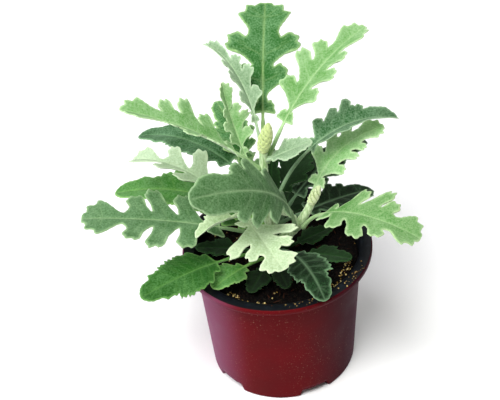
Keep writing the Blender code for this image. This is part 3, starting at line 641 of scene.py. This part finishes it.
# One row for each leaf.
#  shoot, height: the shoot and the height of the joint; heading: 0 is +X, 90 is away from the front
#  rise, end: slope at the stem and at the tip; turn: change of heading; roll: turn about the rib
#  length, stalk: length, and the stalk's share of it; half_width, widest: half width and its place
#  fold: lift of each half; curl: droop of the lobes; pairs, cut: lobe pairs and the depth of the cuts
#  slant, fill: angle of the lobes to the rib and how much of the room they take; shape: kind of lobe
LEAF_FIELDS = (
    "shoot", "height", "heading", "rise", "end", "turn", "roll", "length", "stalk", "half_width", "widest",
    "fold", "curl", "pairs", "cut", "slant", "fill", "shape",
)
LEAF_ROWS = {
    "top": ("main", 134, 86, 59, 22, -3, 0, 91, 0.31, 19, 1.3, 8, 0.05, 3, 0.48, 68, 0.92, "oak"),
    "upper_right": ("main", 138, 45, 57, 8, -8, 0, 91, 0.24, 15, 0.7, 18, 0, 4, 0.50, 56, 0.88, "oak"),
    "upper_left": ("main", 141, 105, 84, -13, 22, 0, 77, 0.24, 9, 0.5, 45, 0, 4, 0.36, 60, 0.80, "oak"),
    "left_upright": ("main", 118, 126, 48, 82, 8, 0, 64, 0.34, 10, 0.5, 30, 0, 4, 0.40, 60, 0.86, "oak"),
    "left": ("main", 136, 202, 55, 22, -18, 0, 87, 0.22, 17, 0.6, 26, 0, 4, 0.42, 56, 0.88, "oak"),
    "left_back": ("main", 112, 128, 34, -22, 28, 0, 91, 0.30, 13, 0.5, 10, 0, 6, 0.15, 62, 0.92, "wavy"),
    "left_pale": ("left", 107, 151, 56, -26, -3, 0, 75, 0.20, 15, 0.6, 25, 0, 3, 0.70, 58, 0.66, "oak"),
    "left_bright": ("main", 94, 139.6, 16, -12, 38, 0, 93, 0.32, 16, 0.5, 8, 0, 6, 0.12, 64, 0.92, "wavy"),
    "left_long": ("left", 95, 186, 25, 3, -6, -3, 93, 0.20, 27, 0.6, 5, 0, 4, 0.62, 72, 0.85, "oak"),
    "centre": ("right", 97, 245, 84, -5, -52, 44, 92, 0.24, 18, 0.85, -5, 0.05, 4, 0.30, 60, 0.92, "blunt"),
    "front_left": ("main", 78.8, 212, 24, -12, -4, 0, 80, 0.42, 17, 0.4, 5, 0.05, 6, 0.08, 66, 0.95, "wavy"),
    "front_left_small": (
        "main", 75.4, 225, 24, -6, -2, 0, 44, 0.45, 10, 0.5, 8, 0, 4, 0.15, 64, 0.92, "wavy"),
    "front_pale": ("left", 110, 289, 13, -20, 12, 0, 46, 0.10, 21, 0.5, 5, 0, 3, 0.55, 60, 0.82, "oak"),
    "front_right": ("main", 79.2, 303, 44, -32, -14, 0, 57, 0.35, 12, 0.45, 8, 0, 5, 0.10, 64, 0.92, "wavy"),
    "right": ("right", 100, 308, 61, -23, 25, 0, 84, 0.30, 21, 0.6, 8, 0, 4, 0.50, 62, 0.92, "oak"),
    "right_middle": ("right", 104, 58, 62, 4, -50, 0, 66, 0.24, 16, 0.6, 8, 0, 4, 0.44, 62, 0.78, "oak"),
    "right_back": ("main", 105, 28, 76, -27, -10, 0, 95, 0.42, 13, 0.6, 32, 0, 5, 0.22, 60, 0.92, "blunt"),
    "centre_grey": ("main", 141, -12, 30, 12, 30, 0, 25, 0.08, 9, 0.4, 10, 0, 4, 0.15, 60, 0.92, "wavy"),
    "curled_right": ("right", 100, 175, 80, -62, 0, 0, 13, 0.20, 4.5, 0.5, 25, 0, 3, 0.15, 64, 0.92, "wavy"),
    "curled_left": ("left", 112, 214, 16, -20, 0, 0, 27, 0.12, 7.5, 0.5, 50, 0, 4, 0.15, 64, 0.92, "wavy"),
    "back_right_high": ("main", 94, 26, 8, -20, 10, 0, 66, 0.30, 15, 0.6, 5, 0, 4, 0.25, 60, 0.92, "blunt"),
    "back_right_low": ("main", 88.5, 52, 42, -8, -22, 0, 78, 0.30, 13, 0.6, 5, 0, 4, 0.22, 62, 0.88, "blunt"),
    "right_centre": ("main", 99, 58, 42, 10, 0, 0, 50, 0.30, 11, 0.5, 5, 0, 4, 0.20, 60, 0.92, "blunt"),
    "centre_narrow": ("main", 94, 82, 62, 56, 0, 0, 42, 0.30, 6, 0.5, 20, 0, 4, 0.12, 60, 0.92, "wavy"),
    "soil_left": ("main", 75.4, 172, 12, 2, 8, 0, 40, 0.40, 8, 0.5, 5, 0, 4, 0.12, 64, 0.92, "wavy"),
    "soil_front": ("main", 78.2, 250, -2, -6, -10, 0, 31, 0.40, 7.5, 0.5, 5, 0, 4, 0.12, 64, 0.92, "wavy"),
    "soil_front_right": ("main", 75.4, 280, 6, 4, 0, 0, 29, 0.40, 6.5, 0.5, 5, 0, 4, 0.12, 64, 0.92, "wavy"),
    "soil_right": ("main", 75.4, 22, 8, -2, 8, 0, 34, 0.35, 7, 0.5, 5, 0, 4, 0.12, 64, 0.92, "wavy"),
    "soil_right_long": ("main", 75.4, 344, 12, 6, -12, 0, 42, 0.40, 8, 0.5, 5, 0, 4, 0.12, 64, 0.92, "wavy"),
    "left_middle": ("main", 87, 132, 22, -16, 34, 0, 50, 0.35, 10, 0.5, 5, 0, 4, 0.15, 64, 0.92, "wavy"),
    "back_left": ("main", 106, 114, 48, 4, -4, 0, 72, 0.38, 11, 0.5, 5, 0, 5, 0.20, 60, 0.92, "blunt"),
    "back_low": ("main", 84.5, 100, 18, -14, -6, 0, 60, 0.35, 14, 0.5, 5, 0, 4, 0.20, 62, 0.92, "blunt"),
    "back_middle": ("main", 91.5, 108, 32, -8, -10, 0, 58, 0.30, 13, 0.5, 8, 0, 4, 0.40, 60, 0.85, "oak"),
    "back_low_left": ("main", 75.8, 126, 26, -6, 14, 0, 50, 0.35, 12, 0.5, 5, 0, 4, 0.20, 62, 0.92, "wavy"),
    "back_low_right": ("main", 75.8, 76, 26, -6, -4, 0, 50, 0.35, 12, 0.5, 5, 0, 4, 0.20, 62, 0.92, "wavy"),
}
# Finish of the felt: the green below, the felt, the veins, how much felt covers the upper face, its leaves.
# The darkest finishes hold painted shade.
FINISHES = {
    "bright_green": ("#2d6a18", "#76a267", "#8fbb63", 0.27, "left_bright front_left_small left_middle"
                     " back_low_left"),
    "low_green": ("#1a4f0a", "#669858", "#6f9f50", 0.11, "front_left back_low"),
    "deep_green": ("#265d20", "#80ad7a", "#b2d18a", 0.18, "top back_left"),
    "dim_green": ("#235324", "#89ad87", "#a3bf98", 0.26, "right_back"),
    "far_green": ("#1c481b", "#7aa27b", "#7fa777", 0.20, "left_back"),
    # Partly old leaves' own darker green, partly painted shade: the leaves at the back right and the front
    # right are darkened for the shadow on them.
    "painted_shade_dark_green": ("#031c02", "#38683a", "#87ab82", 0.05, "front_right back_right_high back_right_low"),
    "mid_green": ("#3f7c2a", "#9cba88", "#b8d39c", 0.33, "right"),
    "light_green": ("#4d8735", "#9fc08f", "#bcd8a2", 0.36, "upper_right left back_middle"),
    "young_green": ("#5f9c48", "#b4d0a3", "#bfdaa5", 0.42, "left_upright right_middle"),
    "grey_green": ("#2f5c28", "#80a278", "#a8c590", 0.33, "left_long"),
    "worn_green": ("#264e1e", "#709466", "#a5c292", 0.30, "centre"),
    "pale_grey": ("#4b7343", "#a2ba99", "#b5cda6", 0.55, "upper_left centre_grey"),
    "white_felt": ("#74965f", "#c8dab4", "#cfdfb8", 0.62, "front_pale curled_left curled_right"),
    "thin_white_felt": ("#6f9163", "#b9cdaa", "#bed1ad", 0.60, "left_pale"),
    # Partly old leaves' own darker green, partly painted shade: these two finishes darken leaves low on the
    # soil, behind others and between the stems.
    "painted_shade_green": ("#0a2606", "#244920", "#2c5226", 0.10, "right_centre centre_narrow soil_left soil_right"
                     " soil_right_long back_low_right"),
    "painted_shade_darkest_green": ("#061804", "#193613", "#24451d", 0.10, "soil_front soil_front_right"),
}
UNDERSIDE_THIN, UNDERSIDE_THICK = "#a3bf90", "#cfdcc0"
# How far apart along the rib a lobe's two margins are joined, as a share of its room; where the rows of
# the end lobe leave the rib; the scallops of the margin; how far lobes curl; and the waves of the blade.
JOIN_SPREAD = 0.30
END_JOIN = 0.55
SCALLOP_HEIGHT = 0.28
SCALLOP_LENGTH = 2.9
LOBE_CURL = 1.5
WAVE_HEIGHT = 0.7
WAVE_LENGTH = 21.0
# Sizes of the felt's mottles, drawn coarser than its hairs so that they show, and of its broader drifts.
MOTTLE_SIZE = 0.952
DRIFT_SIZE = 10.5


def leaf_felt(name, green, felt, vein, cover):
    """Felted leaf: the green shows where the felt is thin, in mottles about a millimetre wide.

    The marks are vein, margin, underside, and how thick the felt is.
    """
    material, tree, shader, where = new_material(name, green, 0.85, {
        "Sheen Weight": 0.06, "Sheen Roughness": 0.5, "Specular IOR Level": 0.2})
    marks = add_node(tree, "Attribute", {}, attribute_name="marks")
    split = add_node(tree, "SeparateColor", {"Color": marks})
    on_vein, on_margin, underside = (split.outputs[channel] for channel in ("Red", "Green", "Blue"))
    fine = add_node(tree, "TexNoise", {
        "Vector": where, "Scale": pattern_scale(MOTTLE_SIZE), "Detail": 3.0, "Roughness": 0.6})
    broad = add_node(tree, "TexNoise", {"Vector": where, "Scale": pattern_scale(DRIFT_SIZE), "Detail": 2.0})
    mottle = add_node(tree, "MapRange", {
        "Value": fine, "From Min": 0.4, "From Max": 0.6, "To Min": cover - 0.28, "To Max": cover - 0.02},
        clamp=False)
    drift = add_node(tree, "MapRange", {
        "Value": broad, "From Min": 0.35, "From Max": 0.65, "To Min": -0.10, "To Max": 0.10}, clamp=False)
    patchy = add_node(tree, "Math", {0: mottle, 1: drift}, operation="ADD")
    thick = add_node(tree, "Math", {0: marks.outputs["Alpha"], 1: 0.30, 2: patchy}, operation="MULTIPLY_ADD")
    felted = add_node(tree, "Math", {0: on_margin, 1: 0.45, 2: thick},
                      operation="MULTIPLY_ADD", use_clamp=True)
    upper = add_node(tree, "Mix", {SHARE: felted, FIRST: linear(green), SECOND: linear(felt)})
    margin_share = add_node(tree, "Math", {0: on_margin, 1: 0.55}, operation="MULTIPLY")
    vein_share = add_node(tree, "Math", {0: on_vein, 1: 0.6, 2: margin_share},
                          operation="MULTIPLY_ADD", use_clamp=True)
    veined = add_node(tree, "Mix", {SHARE: vein_share, FIRST: upper, SECOND: linear(vein)})
    lower = add_node(tree, "Mix", {
        SHARE: fine, FIRST: linear(UNDERSIDE_THIN), SECOND: linear(UNDERSIDE_THICK)})
    whole = add_node(tree, "Mix", {SHARE: underside, FIRST: veined, SECOND: lower})
    nap = add_node(tree, "Bump", {"Height": fine, "Strength": 0.5, "Distance": 0.5 * MM})
    feed(shader, {"Base Color": whole, "Normal": nap})
    return material


def lobe_reach(leaf, share):
    """Half width at a share of the way along the lobes: a parabola each side of the widest place."""
    widest = leaf["widest"]
    if share < widest:
        return leaf["half_width"] * (1.0 - leaf["narrowing"] * ((widest - share) / widest) ** 2)
    return leaf["half_width"] * (1.0 - HIGH_NARROWING * ((share - widest) / max(1.0 - widest, 0.2)) ** 2)


def leaf_plan(leaf, seed):
    """Flat plan of a leaf, along and across its rib: both margins as curves, and veins as pairs of points.

    A lobe is drawn from its foot on the rib at a slant: along = foot + u lobe cos + v width sin, and across =
    u lobe sin - v width cos. A margin's row is along, across, its place on the rib, and its curl.
    """
    draw, curls = np.random.default_rng(seed), np.random.default_rng(seed + 1000)
    start = leaf["stalk"] * leaf["length"]
    blade = leaf["length"] - start
    pairs = leaf["pairs"]
    spacing = leaf["room"] * blade / pairs
    end_foot = start + leaf["end_foot"] * blade
    feet = np.append(start + FIRST_FOOT * blade + spacing * np.arange(pairs), end_foot)
    radius = leaf["length"] - feet[-1]
    lobe_u, lobe_v = np.array(LOBE_SHAPES[leaf["shape"]]).T
    angle, share_out = np.array(END_SHAPES[leaf["shape"]]).T
    stalk = np.array([0.0, 0.35, 0.75, 1.0]) * start
    margins, veins = [], [((start * 0.6, 0.0), (leaf["length"] - 0.12 * radius, 0.0))]
    for side in (1, -1):
        rows = [np.stack([stalk, np.full(4, PETIOLE_WIDTH / 2), stalk, np.zeros(4)], -1)]
        for k in range(pairs):
            share = k / (pairs - 1)
            reach = lobe_reach(leaf, share) * (1.0 + REACH_STRAY * draw.uniform(-1, 1))
            slant = leaf["slant"] + SLANT_CHANGE * (0.5 - share) + SLANT_STRAY * draw.uniform(-1, 1)
            cos, sin = math.cos(math.radians(slant)), math.sin(math.radians(slant))
            lobe = reach / sin
            width = min(0.5 * leaf["fill"] * spacing * sin, LOBE_STOUTNESS * lobe)
            curl = LOBE_CURL * leaf["cut"] * curls.uniform(-1.0, 1.2)

            def on_lobe(u, v):
                """Along and across the leaf, at shares of the lobe's length and half width."""
                return feet[k] + u * lobe * cos + v * width * sin, u * lobe * sin - v * width * cos

            rows.append(np.stack([*on_lobe(lobe_u, lobe_v), feet[k] + JOIN_SPREAD * spacing * lobe_v,
                                  curl * lobe_u ** 2], -1))
            depth = (1.0 - leaf["depth"] * leaf["cut"]) * lobe
            notch_place = (feet[k] + feet[k + 1]) / 2
            rows.append(np.array([[notch_place + depth * cos, depth * sin, notch_place, 0.0]]))
            for end_u, end_v, from_u in LOBE_VEINS:
                ends = np.array([on_lobe(from_u, 0.0), on_lobe(end_u, end_v)])
                veins.append(ends * (1, side))
        spread = END_WIDTH * lobe_reach(leaf, 1.0) / radius
        bearing = np.radians(angle)
        rows.append(np.stack([
            feet[-1] + share_out * radius * np.cos(bearing), share_out * radius * np.sin(bearing) * spread,
            feet[-1] + END_JOIN * radius * (1 - angle / 90.0), np.zeros(len(angle))], -1))
        for vein_angle in END_VEIN_ANGLES:
            along, across = 0.9 * radius * math.cos(vein_angle), 0.9 * radius * math.sin(vein_angle) * spread
            veins.append(((feet[-1] + 0.15 * radius, 0.0), (feet[-1] + along, side * across)))
        rows = np.vstack(rows)
        rows[:, 2] = np.maximum.accumulate(rows[:, 2])
        steps = leaf["steps"]
        line = smooth_curve(rows[:, :2], steps, after=rows[-2, :2] * (1, -1))
        run = np.gradient(line, axis=0)
        run /= np.linalg.norm(run, axis=1)[:, None]
        travelled = np.append(0.0, np.cumsum(np.linalg.norm(np.diff(line, axis=0), axis=1)))
        teeth = SCALLOP_HEIGHT * (np.abs(np.sin(math.pi * travelled / SCALLOP_LENGTH)) - 0.5)
        teeth *= smoothstep(start, 1.3 * start, line[:, 0]) * smoothstep(0.0, 4.0, travelled[-1] - travelled)
        line = (line + teeth[:, None] * np.stack([-run[:, 1], run[:, 0]], -1)) * (1, side)
        number = np.arange(len(line)) / steps
        rest = [np.interp(number, np.arange(len(rows)), rows[:, column]) for column in (2, 3)]
        margins.append(np.column_stack([line] + rest))
    return margins, np.array(veins)


def distance_to_lines(points, lines):
    """Distance from each point to each line, and the share of the line before its nearest point."""
    near, run = lines[:, 0], lines[:, 1] - lines[:, 0]
    offset = points[..., None, :] - near
    share = np.clip((offset * run).sum(-1) / (run ** 2).sum(-1), 0.0, 1.0)
    return np.linalg.norm(offset - share[..., None] * run, axis=-1), share


def shoot_place(shoot, height):
    """Axis point, unit axis and radius of a shoot at a height."""
    points, low_radius, high_radius = SHOOTS[shoot]
    points = np.array(points)
    place = np.array([np.interp(height, points[:, 2], points[:, k]) for k in range(3)])
    k = min(max(int(np.searchsorted(points[:, 2], height)), 1), len(points) - 1)
    axis = points[k] - points[k - 1]
    share = (height - points[0, 2]) / (points[-1, 2] - points[0, 2])
    return place, axis / np.linalg.norm(axis), low_radius + (high_radius - low_radius) * share


def leaf_rib(leaf):
    """The rib's points, side and up directions at equal steps: heading and slope change evenly along it."""
    s = np.linspace(0.0, 1.0, RIB_STEPS + 1)
    heading = np.radians(leaf["heading"] + leaf["turn"] * s)
    slope = np.radians(leaf["rise"] + (leaf["end"] - leaf["rise"]) * s)
    turn = np.radians(leaf["roll"] * np.clip(s / max(leaf["stalk"], 0.05), 0.0, 1.0))[:, None]
    flat = np.stack([np.cos(heading), np.sin(heading), np.zeros_like(heading)], -1)
    ahead = flat * np.cos(slope)[:, None]
    ahead[:, 2] = np.sin(slope)
    level = np.stack([flat[:, 1], -flat[:, 0], flat[:, 2]], -1)
    above = np.cross(level, ahead)
    side = level * np.cos(turn) + above * np.sin(turn)
    up = above * np.cos(turn) - level * np.sin(turn)
    place, axis, radius = shoot_place(leaf["shoot"], leaf["height"])
    outward = flat[0] - axis * flat[0].dot(axis)
    outward /= np.linalg.norm(outward)
    depth = abs(up[0].dot(outward)) * PETIOLE_THICKNESS / 2 + abs(side[0].dot(outward)) * PETIOLE_WIDTH / 2
    base = place + outward * (radius + JOINT_GAP + depth)
    steps = (ahead[1:] + ahead[:-1]) / 2 * leaf["length"] / RIB_STEPS
    return np.vstack([base, base + np.cumsum(steps, 0)]), side, up


def add_leaf(name, leaf, seed, material):
    """A closed blade: each row runs from margin to margin over the upper face and back under the lower one.

    With w from 0 at the rib to 1 at the margin, along = (1 - w) joined + w margin. Half the thickness is
    e sqrt(1 - (1 - d / e)**2) at a distance d under e from the margin, an ellipse on the stalk, and more at
    the rib. The height is that of the fold, the droop, the waves, the lobes' curl and the blisters.
    """
    margins, veins = leaf_plan(leaf, seed)
    columns = leaf["columns"]
    start, half_width = leaf["stalk"] * leaf["length"], leaf["half_width"]
    blade = leaf["length"] - start
    w = (1 - np.cos(math.pi * np.arange(columns + 1) / columns)) / 2
    over = np.concatenate([w[::-1], w[1:]])
    is_right = np.arange(2 * columns + 1) > columns
    margin = np.where(is_right[None, :, None], margins[0][:, None], margins[1][:, None])
    along = (1 - over) * margin[..., 2] + over * margin[..., 0]
    across = over * margin[..., 1]
    plan = np.stack([along, across], -1)

    line_distance, line_share = distance_to_lines(plan, veins)
    is_rib = np.arange(len(veins)) == 0
    strength = np.where(is_rib, 1.0, 0.22) * (1 - 0.65 * line_share)
    vein = (np.exp(-(line_distance / np.where(is_rib, 0.5, 0.4)) ** 2) * strength).max(-1)
    to_vein = line_distance.min(-1)
    both_margins = np.vstack([margins[0][:, :2], margins[1][:, :2]])
    flat_plan = plan.reshape(-1, 2)
    squared = (flat_plan ** 2).sum(1)[:, None] + (both_margins ** 2).sum(1) - 2 * flat_plan @ both_margins.T
    to_margin = np.sqrt(squared.min(1).clip(0)).reshape(along.shape)
    to_margin[:, [0, -1]] = 0.0

    edge = LEAF_EDGE / 2
    on_blade = smoothstep(0.6 * start, 1.05 * start, margin[..., 2])
    far = np.clip((along - start) / blade, 0, 1)
    rounded = edge * np.sqrt(1 - (1 - np.clip(to_margin / edge, 0, 1)) ** 2)
    oval = PETIOLE_THICKNESS / 2 * np.sqrt(1 - over ** 2)
    rib_below = RIB_RELIEF * np.exp(-across ** 2) * (1 - 0.8 * far) + VEIN_RELIEF * vein
    groove = RIB_GROOVE * np.exp(-(across / 0.6) ** 2) + VEIN_GROOVE * vein
    inner = np.clip(to_margin, 0, 1)
    above = (1 - on_blade) * oval + on_blade * (rounded - groove * inner)
    below = (1 - on_blade) * oval + on_blade * (rounded + rib_below * inner)

    ease = smoothstep(start - 0.04 * blade, start + 0.12 * blade, along)
    spread = np.minimum(np.abs(across) / half_width, 1.2)
    crease = np.sqrt(across ** 2 + 1.0) - 1.0
    waves = np.random.default_rng(seed + 2000)
    phase = np.where(is_right, *waves.uniform(0, 2 * math.pi, 2))
    lift = crease * math.sin(math.radians(leaf["fold"])) - leaf["curl"] * half_width * spread ** 2
    lift = lift + WAVE_HEIGHT * spread ** 2 * np.sin(2 * math.pi * along / WAVE_LENGTH + phase)
    blisters = BLISTER_HEIGHT * (1 - np.exp(-(to_vein / BLISTER_REACH) ** 2))
    lift = (lift + margin[..., 3] * over ** 2 + blisters * inner) * ease

    clasp = 1.0 + 0.45 * np.exp(-(along / 3.0) ** 2)
    rib, side, up = leaf_rib(leaf)
    stations = np.linspace(0, leaf["length"], RIB_STEPS + 1)
    clasped = along - 1.3 * np.exp(-(along / 2.0) ** 2)

    def at(field, place):
        """A field of the rib's stations, read at places along it."""
        return np.stack([np.interp(place, stations, field[:, k]) for k in range(3)], -1)

    middle = at(rib, clasped) + np.minimum(clasped, 0)[..., None] * (rib[1] - rib[0]) / stations[1]
    sideways, upward = at(side, along), at(up, along)
    upward /= np.linalg.norm(upward, axis=-1)[..., None]
    middle = middle + sideways * (across * clasp * math.cos(math.radians(leaf["fold"])))[..., None]
    upper = middle + upward * (lift + above * clasp)[..., None]
    lower = middle + upward * (lift - below * clasp)[..., None]
    rows = np.concatenate([upper, lower[:, -2:0:-1]], 1)
    cap = np.repeat(rows[:1].mean(1)[:, None], rows.shape[1], 1)
    rows = np.concatenate([cap, rows])

    pale_margin = np.exp(-(to_margin / 0.7) ** 2) * on_blade
    # The felt is thicker towards the tip and the margins than at the foot of the blade.
    thick = 0.5 + 0.55 * (far - 0.45) + 0.35 * (spread ** 2 - 0.35)
    face_marks = [vein * on_blade + 0.8 * (1 - on_blade), pale_margin, np.zeros_like(vein), thick]
    top_marks = np.stack(face_marks, -1)
    under_marks = top_marks.copy()
    under_marks[..., 2] = on_blade
    marks = np.concatenate([top_marks, under_marks[:, -2:0:-1]], 1)
    marks = np.concatenate([marks[:1], marks])
    return add_piece("felted_" + name, rows, grid_faces(len(rows), rows.shape[1]), [material],
                     ["leaf_" + name], marks=marks.reshape(-1, 4))


felts = {}
for finish, (green, felt_colour, vein_colour, cover, leaf_names) in FINISHES.items():
    finish_felt = leaf_felt(finish + "_leaf_felt", green, felt_colour, vein_colour, cover)
    felts.update(dict.fromkeys(leaf_names.split(), finish_felt))
for number, (name, row) in enumerate(LEAF_ROWS.items()):
    leaf = dict(zip(LEAF_FIELDS, row)) | dict(zip(KIND_FIELDS, KINDS[row[-1]]))
    add_leaf(name, leaf, FIRST_SEED + number, felts[name])
